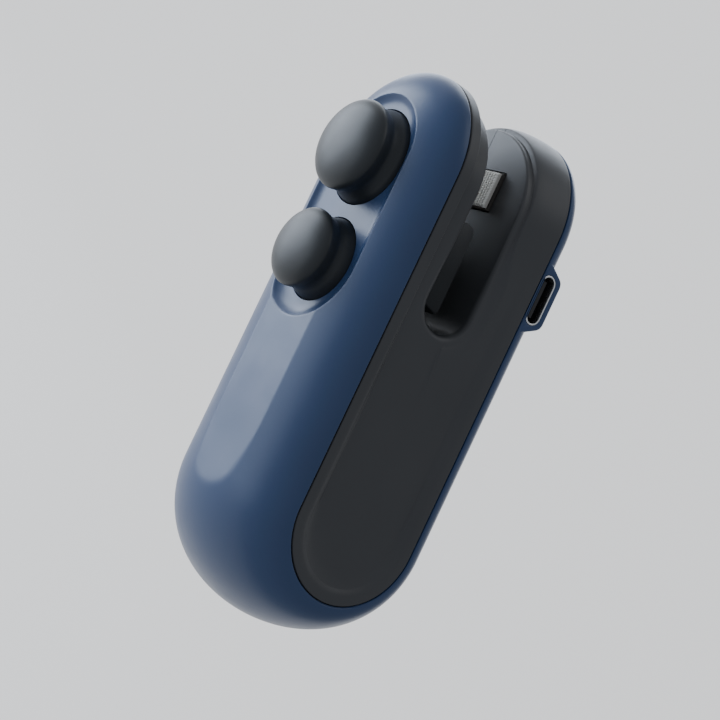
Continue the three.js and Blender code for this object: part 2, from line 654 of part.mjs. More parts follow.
for (const [name, x] of [['heater_lead_left', -6.4], ['heater_lead_right', 6.4]]) {
  const route = [[x, 5.3, 79], [x, 7, 77.6], [x, 8.6, 75], [x, 9.2, 71], [x, 9.6, 68]];
  add(name, wire(route, 0.5, 14), 'redWire');
}
const positiveRoute = [[3.7, -1, 47.3], [4, 3, 47.3], [4.6, 7.6, 47.2], [5, 9.6, 45.6], [5, 10.2, 43]];
add('battery_lead_positive', wire(positiveRoute, 0.4, 14), 'redWire');
const negativeRoute = [[-3, 4, 11.9], [-4, 8.5, 12.4], [-5, 11.2, 16], [-5.5, 11.6, 22], [-5.5, 11.5, 29]];
add('battery_lead_negative', wire(negativeRoute, 0.5, 16), 'blackWire');
const switchRoute = [[-6, -8, 56], [-6, -6.9, 54], [-6, -4.6, 52.3], [-6, -1, 51.5], [-6, 2.2, 52.4], [-6, 4.8, 53.8],
  [-6, 8, 54.6], [-6, 10.3, 56]];
add('switch_lead', wire(switchRoute, 0.4, 24), 'blackWire');

// The sealer lies on its left cover, tips towards -X and knobs towards -Y, above its origin.
sealer.rotation.y = -Math.PI / 2;
const knobTopY = RECESS.floorY - KNOBS.sealing.capHeight - KNOBS.sealing.dome;
sealer.position.set(TOP_Z / 2, -(knobTopY + SEAM_Y + BACK_BULGE) / 2, HALF_WIDTH);

const assembly = new THREE.Group();
assembly.add(sealer);

export default assembly;
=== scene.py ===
"""Looks of the handheld bag heat sealer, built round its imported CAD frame."""

import json
import math

import bmesh
import bpy
import numpy as np
from mathutils import Matrix, Vector

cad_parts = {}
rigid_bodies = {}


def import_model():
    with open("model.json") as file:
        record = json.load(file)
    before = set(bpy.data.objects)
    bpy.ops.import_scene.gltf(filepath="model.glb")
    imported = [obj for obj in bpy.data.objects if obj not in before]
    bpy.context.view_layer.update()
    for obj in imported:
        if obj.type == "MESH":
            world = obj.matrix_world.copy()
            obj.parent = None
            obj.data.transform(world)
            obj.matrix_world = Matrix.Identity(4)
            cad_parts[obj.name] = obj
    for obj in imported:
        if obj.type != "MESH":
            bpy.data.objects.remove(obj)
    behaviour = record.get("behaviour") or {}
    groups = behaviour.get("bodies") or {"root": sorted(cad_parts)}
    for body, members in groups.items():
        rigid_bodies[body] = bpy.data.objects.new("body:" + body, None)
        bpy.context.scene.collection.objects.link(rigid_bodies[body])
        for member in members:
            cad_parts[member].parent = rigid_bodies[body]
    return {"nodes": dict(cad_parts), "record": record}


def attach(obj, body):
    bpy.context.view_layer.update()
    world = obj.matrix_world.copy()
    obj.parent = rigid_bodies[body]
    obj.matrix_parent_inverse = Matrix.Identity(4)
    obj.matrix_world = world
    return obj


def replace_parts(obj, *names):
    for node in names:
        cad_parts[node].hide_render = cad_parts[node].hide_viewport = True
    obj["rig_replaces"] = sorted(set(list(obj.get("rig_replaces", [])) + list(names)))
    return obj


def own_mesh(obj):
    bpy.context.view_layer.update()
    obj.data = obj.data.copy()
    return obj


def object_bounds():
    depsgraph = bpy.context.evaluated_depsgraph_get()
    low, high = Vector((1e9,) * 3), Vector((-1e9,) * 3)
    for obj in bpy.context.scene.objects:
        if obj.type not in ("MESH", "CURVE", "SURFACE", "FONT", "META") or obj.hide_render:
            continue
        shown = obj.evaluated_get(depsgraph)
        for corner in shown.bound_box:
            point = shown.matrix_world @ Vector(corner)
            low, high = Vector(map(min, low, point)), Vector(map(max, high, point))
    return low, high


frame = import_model()
cad_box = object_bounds()

# ---------- the sealer's own measures, in millimetres ----------
# x: towards the socket side. y: away from the knobs. z: from the round end to the arm tips.

MM = 0.001
HALF_WIDTH = 16.0
SEAM_Y = 12.4
SEAM_GAP = 0.12  # each side of the seam's centre line
FRONT_BULGE = 8.0
BACK_BULGE = 6.2
END_BULGE = 7.5
END_ARC_Z = 19.9
TIP_ARC_Z = 77.7
TIP_HEIGHT = 16.4
FACET_Y = -19.8
FACET_LOW_Z = 30.0  # below this the facet curves out and tapers to its end
FACET_CURVE = 0.003
FACET_CREASE = 0.05
FACET_SOFT_CREASE = 0.12  # added to the crease round the lower end

RECESS_Y = -18.05
RECESS_LOW_Z = 57.9
RECESS_HIGH_Z = 77.6
RECESS_FLOOR_RADIUS = 9.3
RECESS_SLOPE = 1.12  # rise of its wall over its width
RECESS_COVE = 1.3  # width of the cove between its floor and its wall

SLOT_FRONT = -6.4
SLOT_BACK = 2.9
SLOT_ARC_Z = 59.25
SLOT_RADIUS = (SLOT_BACK - SLOT_FRONT) / 2
SLOT_MID_Y = (SLOT_BACK + SLOT_FRONT) / 2
SLOT_EDGE_RADIUS = 1.2
SLOT_EDGE_SHRINK = 0.6  # share of that radius lost by the arm tips
SLOT_STRIP = 2.2  # finely meshed strip along the slot
PLATFORM = 1.55  # width of the flat step beside the slot on the back arm
PLATFORM_EDGE = 0.5  # how far past it its fillet ends, at the tip
PLATFORM_SPREAD = 2.5  # how much further the fillet ends lower down
PLATFORM_SPREAD_LOW_Z = 62
PLATFORM_SPREAD_HIGH_Z = 76
CROWN_WIDTH = 8.1  # the back arm's dome curves down from the seam to the step over this width
CROWN_DROP = 0.86  # share of the step's depth that it has dropped by then
DISH_FADE_LOW_Z = 42.0  # the dish runs out into the back arm's dome between these heights
DISH_FADE_HIGH_Z = 74.0

LIP_INSET = 1.0
LIP_ARC_DROP = 0.7
LIP_HEIGHT_DROP = 1.5
DISH_DEPTH = 0.8
DISH_BORDER = 2.1  # flush border between the seam and the dish, on the front arm
DISH_FILLET = 0.6
SOFT_BORDER = 1.5  # the same round the end, where the fillet is wide and soft
SOFT_FILLET = 2.4
CRISP_RISE = 5  # the soft border turns crisp from this far above the end arc to this far above the slot
SEAM_STRIP = DISH_BORDER + DISH_FILLET + 0.1  # finely meshed strip along the seam

EDGE_RADIUS = 0.22  # small moulded edges along the seams
BAND_WALL = 1.6
COVER_WALL = 1.3
PARTING_X = 0.05  # half gap between the two side covers

CAP_RIM_HEIGHT = 4.6  # widest part of a knob's cap above the recess floor
SEALING_KNOB = {
    "z": 76.4, "base": 8.5, "waist": 7.6, "cap": 8.0, "cap_height": 5.2, "dome": 2.7, "flange": 9.3,
}
POWER_KNOB = {
    "z": 57.9, "base": 7.3, "waist": 6.5, "cap": 6.9, "cap_height": 5.2, "dome": 2.3, "flange": 8.1,
}
KNOB_CEILING = 4.7  # height of the hollow under the cap above the recess floor
KNOB_WALL = 1.6
KNOB_BORE_GAP = 0.2
STEM_RADIUS = 2.2
STEM_HOLE_RADIUS = 2.5
POST_RADIUS = 1.4
SWITCH_TOP_Y = -13.7
KNOB_TOP_Y = RECESS_Y - SEALING_KNOB["cap_height"] - SEALING_KNOB["dome"]

SOCKET = {"y": 14.2, "z": 67.8, "length": 8.94, "width": 3.26, "depth": 7.35, "wall": 0.3}
BOSS = {"back_y": 17.1, "half_z": 6.9, "slant": 0.55, "corner": 0.9}

SCREW_PLACES = [(-1, 10), (-8.4, 49.8), (5.6, 50.4), (7.9, 82.5)]
SCREW_HOLE_RADIUS = 1.62
SCREW_HOLE_X = (-18, -12.5)
HEATER_Z = 81.0
POCKET_HALF = (7.6, 2.5, 3.7)
TAPE = {"half_x": 7.1, "half_z": 3.15, "face": 1.45, "depth": 0.88, "fold": 0.45, "ribs": 22, "pick": 0.5}
TAPE_GROOVE = 0.24  # depth between its ribs
TAPE_PICK_HEIGHT = 0.07

# Node, joint, coil radius, wire, from y, to y, turns, centre z, travel.
SPRINGS = [
    ("sealing_spring", "sealing_press", 4.2, 0.35, -21.95, -8.2, 5, 76.4, 4.2),
    ("power_spring", "power_press", 4.25, 0.25, -21.65, -9.8, 4, 57.9, 1.2),
]

KEPT_BEVEL = 0.06  # on the CAD pieces that are kept

# ---------- the studio, in metres ----------

FLOOR_Z = -0.4
FLOOR_LIGHT_Z = -0.1
FLOOR_LIGHT_SIZE = 4.0
FLOOR_LIGHT_RADIANCE = 0.95
COOL = (0.84, 0.95, 1.1)
WHITE = (1, 1, 1)

# Name, direction from the sealer, distance, size, brightness, colour.
SOFTBOXES = [
    ("front_box", (-0.41, -0.6, -0.76), 0.3, (0.26, 0.24), 5.8, COOL),
    ("side_box", (0.0, -1.0, -0.25), 0.6, (0.4, 0.3), 1.3, COOL),
    ("tip_box", (-0.6, 0.45, -0.55), 0.35, (0.3, 0.3), 2.5, COOL),
    ("top_box", (-0.75, 0.45, 0.5), 0.6, (0.35, 0.35), 0.9, WHITE),
    ("back_box", (-0.07, 0.95, 0.3), 0.5, (0.3, 0.2), 0.3, WHITE),
]
SKY_BRIGHT = (0.55, 0.58, 0.63, 1)
SKY_DARK = (0.36, 0.38, 0.4, 1)

CAMERA_LENS = 105.155  # millimetres, on a sensor 36 mm wide
CAMERA_PLACE = (0.02453, -0.20892, 0.29630)
CAMERA_RIGHT = (-0.4285, 0.7053, 0.5648)
CAMERA_UP = (-0.9010, -0.3800, -0.2090)
CAMERA_TOWARD = (0.0672, -0.5985, 0.7983)  # from the sealer towards the camera


def to_row(points):
    """Points in the sealer's own millimetres, moved to the row frame in metres."""
    points = np.asarray(points, float)
    low, high = cad_box
    x = high.x - points[..., 2] * MM
    y = low.y + (points[..., 1] - KNOB_TOP_Y) * MM
    z = (points[..., 0] + HALF_WIDTH) * MM
    return np.stack([x, y, z], axis=-1)


# ---------- mesh helpers ----------


def smoothstep(low, high, value):
    t = np.clip((value - low) / (high - low), 0, 1)
    return t * t * (3 - 2 * t)


def smooth_max(a, b, width):
    """The larger of a and b, with the crease between them rounded over width."""
    near = np.clip(width - np.abs(a - b), 0, None) / width
    return np.maximum(a, b) + near * near * width / 4


def make_object(name, points, faces, sharp=32):
    mesh = bpy.data.meshes.new(name)
    mesh.from_pydata(to_row(points).tolist(), [], faces)
    made = bpy.data.objects.new(name, mesh)
    bpy.context.scene.collection.objects.link(made)
    clean(made, sharp)
    return made


def clean(made, sharp=32):
    """Merges coincident points, turns the faces outwards and smooths all but the sharp edges."""
    bm = bmesh.new()
    bm.from_mesh(made.data)
    bmesh.ops.remove_doubles(bm, verts=bm.verts, dist=2e-6)
    bmesh.ops.dissolve_degenerate(bm, edges=bm.edges, dist=1e-7)
    bmesh.ops.recalc_face_normals(bm, faces=bm.faces)
    bm.to_mesh(made.data)
    bm.free()
    made.data.polygons.foreach_set("use_smooth", [True] * len(made.data.polygons))
    made.data.set_sharp_from_angle(angle=math.radians(sharp))
    made.data.update()


def grid_faces(rows, columns, start=0, wrap=False):
    """Quads of a grid of points, joined round the columns if wrap is set."""
    faces = []
    last = columns if wrap else columns - 1
    for r in range(rows - 1):
        for c in range(last):
            a = start + r * columns + c
            b = start + r * columns + (c + 1) % columns
            faces.append((a, b, b + columns, a + columns))
    return faces


def shell(name, outer, inner, sharp=32):
    """A closed wall between two grids of points that have the same rows and columns."""
    rows, columns = outer.shape[:2]
    count = rows * columns
    faces = grid_faces(rows, columns) + [f[::-1] for f in grid_faces(rows, columns, count)]
    index = np.arange(count).reshape(rows, columns)
    loop = [*index[0], *index[1:, -1], *index[-1, -2::-1], *index[-2:0:-1, 0]]
    for a, b in zip(loop, loop[1:] + loop[:1]):
        faces.append((int(b), int(a), int(a) + count, int(b) + count))
    points = np.concatenate([outer.reshape(-1, 3), inner.reshape(-1, 3)])
    return make_object(name, points, faces, sharp)


def loft(name, rings, sharp=32, closed_ends=False):
    """Skin over a row of closed rings. It closes on itself, or its end rings are filled."""
    rings = np.asarray(rings, float)
    rows, columns = rings.shape[:2]
    faces = grid_faces(rows, columns, wrap=True)
    if closed_ends:
        faces.append(tuple(range(columns))[::-1])
        faces.append(tuple((rows - 1) * columns + c for c in range(columns)))
    else:
        top = (rows - 1) * columns
        for c in range(columns):
            d = (c + 1) % columns
            faces.append((top + c, top + d, d, c))
    return make_object(name, rings.reshape(-1, 3), faces, sharp)


def cut(made, cutters, sharp=32):
    """Cuts the closed cutters out of made, and removes them."""
    for cutter in cutters:
        modifier = made.modifiers.new("cut", "BOOLEAN")
        modifier.operation = "DIFFERENCE"
        modifier.solver = "EXACT"
        modifier.object = cutter
    depsgraph = bpy.context.evaluated_depsgraph_get()
    mesh = bpy.data.meshes.new_from_object(made.evaluated_get(depsgraph))
    made.modifiers.clear()
    made.data = mesh
    for cutter in cutters:
        bpy.data.objects.remove(cutter)
    clean(made, sharp)
    return made


def join(made, parts):
    """Adds the meshes of parts to made, and removes them."""
    bm = bmesh.new()
    for piece in [made, *parts]:
        bm.from_mesh(piece.data)
    bm.to_mesh(made.data)
    bm.free()
    for piece in parts:
        bpy.data.objects.remove(piece)
    return made


def circle(radius, y, centre_z, count=96):
    """Ring about the line x = 0, z = centre_z."""
    angle = np.linspace(0, 2 * math.pi, count, endpoint=False)
    return np.stack([radius * np.cos(angle), np.full(count, y), centre_z + radius * np.sin(angle)], axis=-1)


def turned(name, profile, centre_z, count=96, sharp=32):
    """Profile of (radius, y) pairs turned about the line x = 0, z = centre_z."""
    return loft(name, [circle(r, y, centre_z, count) for r, y in profile], sharp, closed_ends=True)


def rod_x(name, radius, from_x, to_x, y, z, count=48):
    angle = np.linspace(0, 2 * math.pi, count, endpoint=False)
    rings = []
    for x in (from_x, to_x):
        ring = [np.full(count, x), y + radius * np.cos(angle), z + radius * np.sin(angle)]
        rings.append(np.stack(ring, axis=-1))
    return loft(name, rings, closed_ends=True)


def rounded_rectangle(half_u, half_v, radius, per_corner=8):
    """Points (u, v) round a rectangle with round corners, about its centre."""
    points = []
    for corner, (su, sv) in enumerate([(1, 1), (-1, 1), (-1, -1), (1, -1)]):
        for i in range(per_corner + 1):
            angle = math.pi / 2 * (corner + i / per_corner)
            points.append((su * (half_u - radius) + radius * math.cos(angle),
                           sv * (half_v - radius) + radius * math.sin(angle)))
    return np.array(points)


def block(name, centre, half, axis, corner, edge, steps=5):
    """A plate with round corners, seen along axis (0, 1 or 2), and softened edges on both faces."""
    u, v = [i for i in range(3) if i != axis]
    rings = []
    for side in (-1, 1):
        for i in range(steps + 1):
            angle = math.pi / 2 * (i if side < 0 else steps - i) / steps
            pull = edge * (1 - math.sin(angle))
            outline = rounded_rectangle(half[u] - pull, half[v] - pull, max(corner - pull, 0.02))
            ring = np.zeros((len(outline), 3))
            ring[:, u] = centre[u] + outline[:, 0]
            ring[:, v] = centre[v] + outline[:, 1]
            ring[:, axis] = centre[axis] + side * (half[axis] - edge * (1 - math.cos(angle)))
            rings.append(ring)
    return loft(name, rings, sharp=50, closed_ends=True)


def smooth_line(points, steps=8):
    """Catmull-Rom curve through the points."""
    points = np.asarray(points, float)
    padded = np.vstack([2 * points[0] - points[1], points, 2 * points[-1] - points[-2]])
    line = []
    for i in range(1, len(padded) - 2):
        before, here, after, beyond = padded[i - 1:i + 3]
        for t in np.linspace(0, 1, steps, endpoint=False):
            line.append(0.5 * (2 * here + (after - before) * t
                               + (2 * before - 5 * here + 4 * after - beyond) * t**2
                               + (3 * here - before - 3 * after + beyond) * t**3))
    line.append(points[-1])
    return np.array(line)


# ---------- outer band ----------


def edge_inset(distance):
    """How far a face drops at this distance from its rounded edge."""
    reach = np.clip(EDGE_RADIUS - distance, 0, EDGE_RADIUS)
    return EDGE_RADIUS - np.sqrt(EDGE_RADIUS**2 - reach**2)


def recess_depth(x, z):
    """y of the recess for the knobs: a flat floor and a wall that slopes up round it."""
    along = z - np.clip(z, RECESS_LOW_Z, RECESS_HIGH_Z)
    beyond = np.hypot(x, along) - RECESS_FLOOR_RADIUS
    return RECESS_Y - RECESS_SLOPE * smooth_max(beyond, 0 * beyond, RECESS_COVE)


def band_stations():
    """Stations round the band as (part, position): tips by angle, sides by height, end by angle."""
    tip = np.concatenate([90 - np.array([0, 0.35, 0.8, 1.4, 2.2, 3.5, 5]), np.linspace(83, 50, 16)[:-1],
                          np.linspace(50, 0, 70)])
    side_fine = np.concatenate([np.linspace(TIP_ARC_Z, 57, 60)[1:], np.linspace(57, 46, 66)[1:]])
    side_coarse = np.linspace(46, END_ARC_Z, 18)[1:]
    end = np.linspace(0, 180, 110)[1:]
    back = np.linspace(END_ARC_Z, TIP_ARC_Z, 40)[1:]
    stations = [("front tip", math.radians(a)) for a in tip]
    stations += [("front", z) for z in [*side_fine, *side_coarse]]
    stations += [("end", math.radians(a)) for a in end]
    stations += [("back", z) for z in back]
    stations += [("back tip", math.radians(a)) for a in [*np.linspace(0, 80, 24), *tip[6::-1]]]
    return stations


def band_row(part, position, phi, inset):
    """Points across the band at one station. phi runs from one side seam to the other."""
    half = HALF_WIDTH - inset
    swell = np.maximum(np.sin(phi), 0.004)
    x = half * np.cos(phi)
    front = -(FRONT_BULGE - inset) * swell
    back = (BACK_BULGE - inset) * swell
    end = SEAM_Y + (END_BULGE - inset) * swell
    tip = (TIP_HEIGHT - inset) * swell
    seam = SEAM_Y + SEAM_GAP
    if part == "front tip":
        return x, -seam + front * math.cos(position), TIP_ARC_Z + tip * math.sin(position)
    if part == "back tip":
        return x, seam + back * math.cos(position), TIP_ARC_Z + tip * math.sin(position)
    if part == "front":
        return x, -seam + front, np.full_like(x, position)
    if part == "back":
        return x, seam + back, np.full_like(x, position)
    middle, reach = (front + back) / 2, (back - front) / 2 + seam
    return x, middle - reach * math.cos(position), END_ARC_Z - end * math.sin(position)


def band_layer(columns, stations, inset):
    rows = []
    for part, position in stations:
        x, y, z = band_row(part, position, columns, inset)
        if part.startswith("front") or part == "end":
            facet = FACET_Y - FACET_CURVE * np.clip(FACET_LOW_Z - z, 0, None) ** 2
            crease = FACET_CREASE + FACET_SOFT_CREASE * (1 - smoothstep(FACET_LOW_Z - 14, FACET_LOW_Z, z))
            y = smooth_max(y, facet + inset, crease)
        if part.startswith("front"):
            y = smooth_max(y, recess_depth(x, z) + inset, 0.14)
        rows.append(np.stack([x, y, z], axis=-1))
    return np.array(rows)


def outer_band():
    near_seam = np.array([0, 0.006, 0.013, 0.022, 0.036, 0.06])
    rim = [math.acos(x / HALF_WIDTH) for x in (11.1, 10.97, 10.9, 10.83, 10.7, 9.5, 9.3, 9.1)]
    across = np.concatenate([np.linspace(0.085, math.pi - 0.085, 190), rim, math.pi - np.array(rim)])
    columns = np.concatenate([near_seam, np.sort(across), math.pi - near_seam[::-1]])
    stations = band_stations()
    outer = band_layer(columns, stations, 0.0)
    inner = band_layer(columns, stations, BAND_WALL)
    drop = edge_inset(seam_distance(outer))[..., None]
    outer = outer + (inner - outer) * drop / BAND_WALL
    band = shell("outer_band_skin", outer, inner)
    cutters = []
    for size in (SEALING_KNOB, POWER_KNOB):
        radius = size["base"] + KNOB_BORE_GAP
        cutters.append(turned("bore", [(radius, RECESS_Y - 4), (radius, RECESS_Y + 4)], size["z"]))
    cutters.append(block("socket_cut", (12, SOCKET["y"] + 0.3, SOCKET["z"]), (5, 2.1, 5.2), 0, 1.2, 0.2))
    cut(band, cutters)
    return join(band, [socket_boss()])


def seam_distance(points):
    """Distance of the band's points from the seam, measured along y or round the end."""
    y = np.abs(points[..., 1])
    below = np.clip(END_ARC_Z - points[..., 2], 0, None)
    from_middle = np.where(below > 0, np.hypot(points[..., 1], below), y)
    return np.clip(from_middle - SEAM_Y - SEAM_GAP, 0, None)


def stadium_ring(half_length, half_width, x, count):
    """Ring of the socket's outline at x, by even steps round its centre."""
    length = half_length - half_width
    perimeter = 4 * length + 2 * math.pi * half_width
    ring = []
    for i in range(count):
        s = perimeter * i / count
        quarter = [2 * length, math.pi * half_width, 2 * length, math.pi * half_width]
        part = 0
        while s > quarter[part] and part < 3:
            s -= quarter[part]
            part += 1
        if part == 0:
            y, z = half_width, -length + s
        elif part == 1:
            y, z = half_width * math.cos(s / half_width), length + half_width * math.sin(s / half_width)
        elif part == 2:
            y, z = -half_width, length - s
        else:
            y, z = -half_width * math.cos(s / half_width), -length - half_width * math.sin(s / half_width)
        ring.append((x, SOCKET["y"] + y, SOCKET["z"] + z))
    return np.array(ring)


def boss_outline(grow, count):
    """Outline of the socket's boss in (y, z) with slanted ends, by rays from the socket's centre."""
    centre = np.array([SOCKET["y"], SOCKET["z"]])
    hole = stadium_ring(SOCKET["length"] / 2, SOCKET["width"] / 2, 0, count)[:, 1:]
    ring = []
    for direction in hole - centre:
        direction = direction / np.linalg.norm(direction)
        low, high = 1.0, 20.0
        for _ in range(24):
            reach = (low + high) / 2
            if boss_distance(direction * reach) > grow:
                high = reach
            else:
                low = reach
        ring.append(centre + direction * low)
    return np.array(ring)


def boss_distance(offset):
    """Distance outside the boss of a point offset (y, z) from the socket's centre."""
    y = offset[0] + SOCKET["y"]
    side = y - BOSS["back_y"]
    end = (abs(offset[1]) + BOSS["slant"] * (y - SEAM_Y) - BOSS["half_z"]) / math.hypot(1, BOSS["slant"])
    return max(float(smooth_max(side, end, BOSS["corner"])), SEAM_Y + SEAM_GAP - y)


def socket_boss(count=96):
    """Boss round the socket: its outside with a rounded rim, then the hole back down."""
    outside = [(8.6, 0.35), (12, 0.2), (15.2, 0.05), (15.6, 0.0)]
    rim = [(15.82, -0.1), (15.95, -0.25), (HALF_WIDTH, -0.45)]
    hole = [(HALF_WIDTH, 0.1), (15.97, 0.03), (15.88, 0.0), (8.7, 0.0)]
    rings = []
    for x, grow in outside + rim:
        outline = boss_outline(grow, count)
        rings.append(np.column_stack([np.full(count, x), outline]))
    half_length, half_width = SOCKET["length"] / 2 + 0.06, SOCKET["width"] / 2 + 0.06
    for x, grow in hole:
        rings.append(stadium_ring(half_length + grow, half_width + grow, x, count))
    return loft("boss", rings, sharp=40)


# ---------- side covers ----------


def cover_stations():
    """Rows round the U of a cover: outer point and inward normal, slot point and normal, tip angle, arm."""
    half = SEAM_Y - SEAM_GAP
    rows = []
    start = math.acos(PARTING_X / HALF_WIDTH)
    tip = start * (1 - (1 - np.linspace(0, 1, 56)) ** 1.25)
    for phi in tip[::-1]:
        rows.append(((-half, TIP_ARC_Z), (1, 0), (SLOT_FRONT, TIP_ARC_Z), (-1, 0), phi, "front"))
    for z in np.linspace(TIP_ARC_Z, SLOT_ARC_Z, 24)[1:-1]:
        rows.append(((-half, z), (1, 0), (SLOT_FRONT, z), (-1, 0), 0, "front"))
    straight = SLOT_ARC_Z - END_ARC_Z
    total = 2 * straight + math.pi * half
    for share in np.linspace(0, 1, 150):
        s = share * total
        angle = math.pi * (1 + share)
        slot_normal = (math.cos(angle), math.sin(angle))
        slot = (SLOT_MID_Y + SLOT_RADIUS * slot_normal[0], SLOT_ARC_Z + SLOT_RADIUS * slot_normal[1])
        if s < straight:
            outer, normal = (-half, SLOT_ARC_Z - s), (1, 0)
        elif s > total - straight:
            outer, normal = (half, SLOT_ARC_Z - (total - s)), (-1, 0)
        else:
            turn = math.pi + (s - straight) / half
            outer = (half * math.cos(turn), END_ARC_Z + half * math.sin(turn))
            normal = (-math.cos(turn), -math.sin(turn))
        rows.append((outer, normal, slot, slot_normal, 0, "end"))
    for z in np.linspace(SLOT_ARC_Z, TIP_ARC_Z, 24)[1:-1]:
        rows.append(((half, z), (-1, 0), (SLOT_BACK, z), (1, 0), 0, "back"))
    for phi in tip:
        rows.append(((half, TIP_ARC_Z), (-1, 0), (SLOT_BACK, TIP_ARC_Z), (1, 0), phi, "back"))
    return rows


def cover_columns():
    """Columns across a cover: (kind, distance or share, extra inset)."""
    columns = [("outer", 0.0, 1.6), ("outer", 0.0, 0.9), ("outer", 0.0, 0.4)]
    columns += [("outer", d, 0.0) for d in (0, 0.03, 0.08, 0.15, 0.22, 0.5, 1.1, 1.7)]
    dish_edge = np.linspace(DISH_BORDER - 0.1, SEAM_STRIP, 11)
    columns += [("outer", distance, 0.0) for distance in dish_edge]
    columns += [("middle", s, 0.0) for s in np.linspace(0, 1, 16)[1:-1]]
    columns += [("slot", d, 0.0) for d in np.linspace(SLOT_STRIP, SLOT_EDGE_RADIUS + 0.1, 10)]
    radius = SLOT_EDGE_RADIUS
    for angle in np.linspace(0, math.pi / 2, 10):
        columns.append(("slot", radius * (1 - math.sin(angle)), radius * (1 - math.cos(angle))))
    columns += [("wall", s, SLOT_EDGE_RADIUS) for s in np.linspace(0, 1, 10)[1:]]
    return columns


def cover_point(row, column, wall):
    """One point of a cover's outer face, or of its inner face if wall is its thickness."""
    outer, outer_normal, slot, slot_normal, phi, arm = row
    kind, value, extra = column
    outer, slot = np.array(outer), np.array(slot)
    outer_normal, slot_normal = np.array(outer_normal), np.array(slot_normal)
    if kind in ("slot", "wall"):
        softness = 1 - SLOT_EDGE_SHRINK * float(smoothstep(SLOT_ARC_Z, TIP_ARC_Z - 6, slot[1]))
        extra *= softness
        if kind == "slot" and value <= SLOT_EDGE_RADIUS:
            value *= softness
    last_outer = outer + outer_normal * SEAM_STRIP
    first_slot = slot + slot_normal * SLOT_STRIP
    if kind == "outer":
        place = outer + outer_normal * max(value, wall)
    elif kind == "middle":
        place = last_outer + (first_slot - last_outer) * value
    else:
        place = slot + slot_normal * max(0 if kind == "wall" else value, wall)
    from_seam = value if kind == "outer" else max(math.hypot(*(place - outer)), SEAM_STRIP)
    from_slot = 0 if kind == "wall" else math.hypot(*(place - slot))
    if kind == "slot":
        from_slot = value
    lift = float(smoothstep(SLOT_ARC_Z, TIP_ARC_Z, place[1]))
    crisp = 0.0
    if place[0] < 0:
        crisp = float(smoothstep(END_ARC_Z + CRISP_RISE, SLOT_ARC_Z + CRISP_RISE, place[1]))
    border = SOFT_BORDER + (DISH_BORDER - SOFT_BORDER) * crisp
    fillet = SOFT_FILLET + (DISH_FILLET - SOFT_FILLET) * crisp
    fade = 1.0
    if place[0] > 0:
        fade = 1 - float(smoothstep(DISH_FADE_LOW_Z, DISH_FADE_HIGH_Z, place[1]))
    inside = float(smoothstep(border, border + fillet, from_seam)) * fade
    if place[0] > SLOT_MID_Y and place[1] > DISH_FADE_LOW_Z:
        narrowing = float(smoothstep(PLATFORM_SPREAD_LOW_Z, PLATFORM_SPREAD_HIGH_Z, place[1]))
        reach = PLATFORM + PLATFORM_SPREAD * (1 - narrowing)
        inside = max(inside, 1 - float(smoothstep(PLATFORM - 0.1, reach + PLATFORM_EDGE, from_slot)))
    if arm == "back":
        share = min(from_seam / CROWN_WIDTH, 1.0)
        inside = max(inside, CROWN_DROP * (1 - math.sqrt(1 - share**2)) * lift)
    inset = extra + (DISH_DEPTH + (LIP_INSET - DISH_DEPTH) * lift) * inside + wall
    if kind == "outer" and wall == 0:
        inset += float(edge_inset(value))
    reach = HALF_WIDTH - inset
    arc_z = TIP_ARC_Z - LIP_ARC_DROP * inside
    height = TIP_HEIGHT - LIP_HEIGHT_DROP * inside - (inset - LIP_INSET * inside)
    x = reach * math.cos(phi)
    z = arc_z + height * math.sin(phi) if phi > 0 else place[1] - LIP_ARC_DROP * inside * lift
    if kind == "wall":
        x = PARTING_X + (x - PARTING_X) * (1 - value)
    return (max(x, PARTING_X), place[0], z)


def side_cover(side):
    rows, columns = cover_stations(), cover_columns()
    layers = []
    for wall in (0.0, COVER_WALL):
        layers.append(np.array([[cover_point(row, column, wall) for column in columns] for row in rows]))
    for layer in layers:
        layer[..., 0] *= side
    cover = shell("right_cover_skin" if side > 0 else "left_cover_skin", *layers)
    stem = [(STEM_HOLE_RADIUS, SLOT_FRONT - 4), (STEM_HOLE_RADIUS, SLOT_FRONT + 2)]
    cutters = [turned("stem_cut", stem, SEALING_KNOB["z"], 48)]
    cutters.append(block("pocket_cut", (0, SLOT_BACK, HEATER_Z), POCKET_HALF, 1, 0.3, 0.05))
    if side < 0:
        for y, z in SCREW_PLACES:
            cutters.append(rod_x("screw_cut", SCREW_HOLE_RADIUS, *SCREW_HOLE_X, y, z))
    return cut(cover, cutters)


# ---------- knobs ----------


def knob(name, size):
    """Hollow mushroom knob: a domed cap, a waist, and a flared base whose flange holds it in its bore."""
    cap, waist, base, rise = size["cap"], size["waist"], size["base"], size["cap_height"]
    crown = rise + size["dome"] - CAP_RIM_HEIGHT
    angles = np.linspace(0.02, math.pi / 2, 36)
    dome = [(cap * math.sin(a), CAP_RIM_HEIGHT + crown * math.cos(a)) for a in angles]
    flare = [(cap, CAP_RIM_HEIGHT), (cap - 0.1, CAP_RIM_HEIGHT - 0.55), (waist + 0.12, 3.3), (waist, 2.6)]
    flare += [(waist + 0.12, 1.9), (waist + 0.38, 1.2), (base - 0.22, 0.6), (base, -0.1)]
    side = smooth_line(flare, 8)
    skirt = [(base, -1.78), (size["flange"], -1.82), (size["flange"], -2.8), (base - KNOB_WALL, -2.8)]
    hollow = [(waist - KNOB_WALL, 1.2), (waist - KNOB_WALL, KNOB_CEILING - 0.4), (0.4, KNOB_CEILING)]
    profile = [*dome, *[tuple(p) for p in side[1:]], *skirt, *hollow]
    return turned(name, [(r, RECESS_Y - h) for r, h in profile], size["z"], 128, sharp=50)


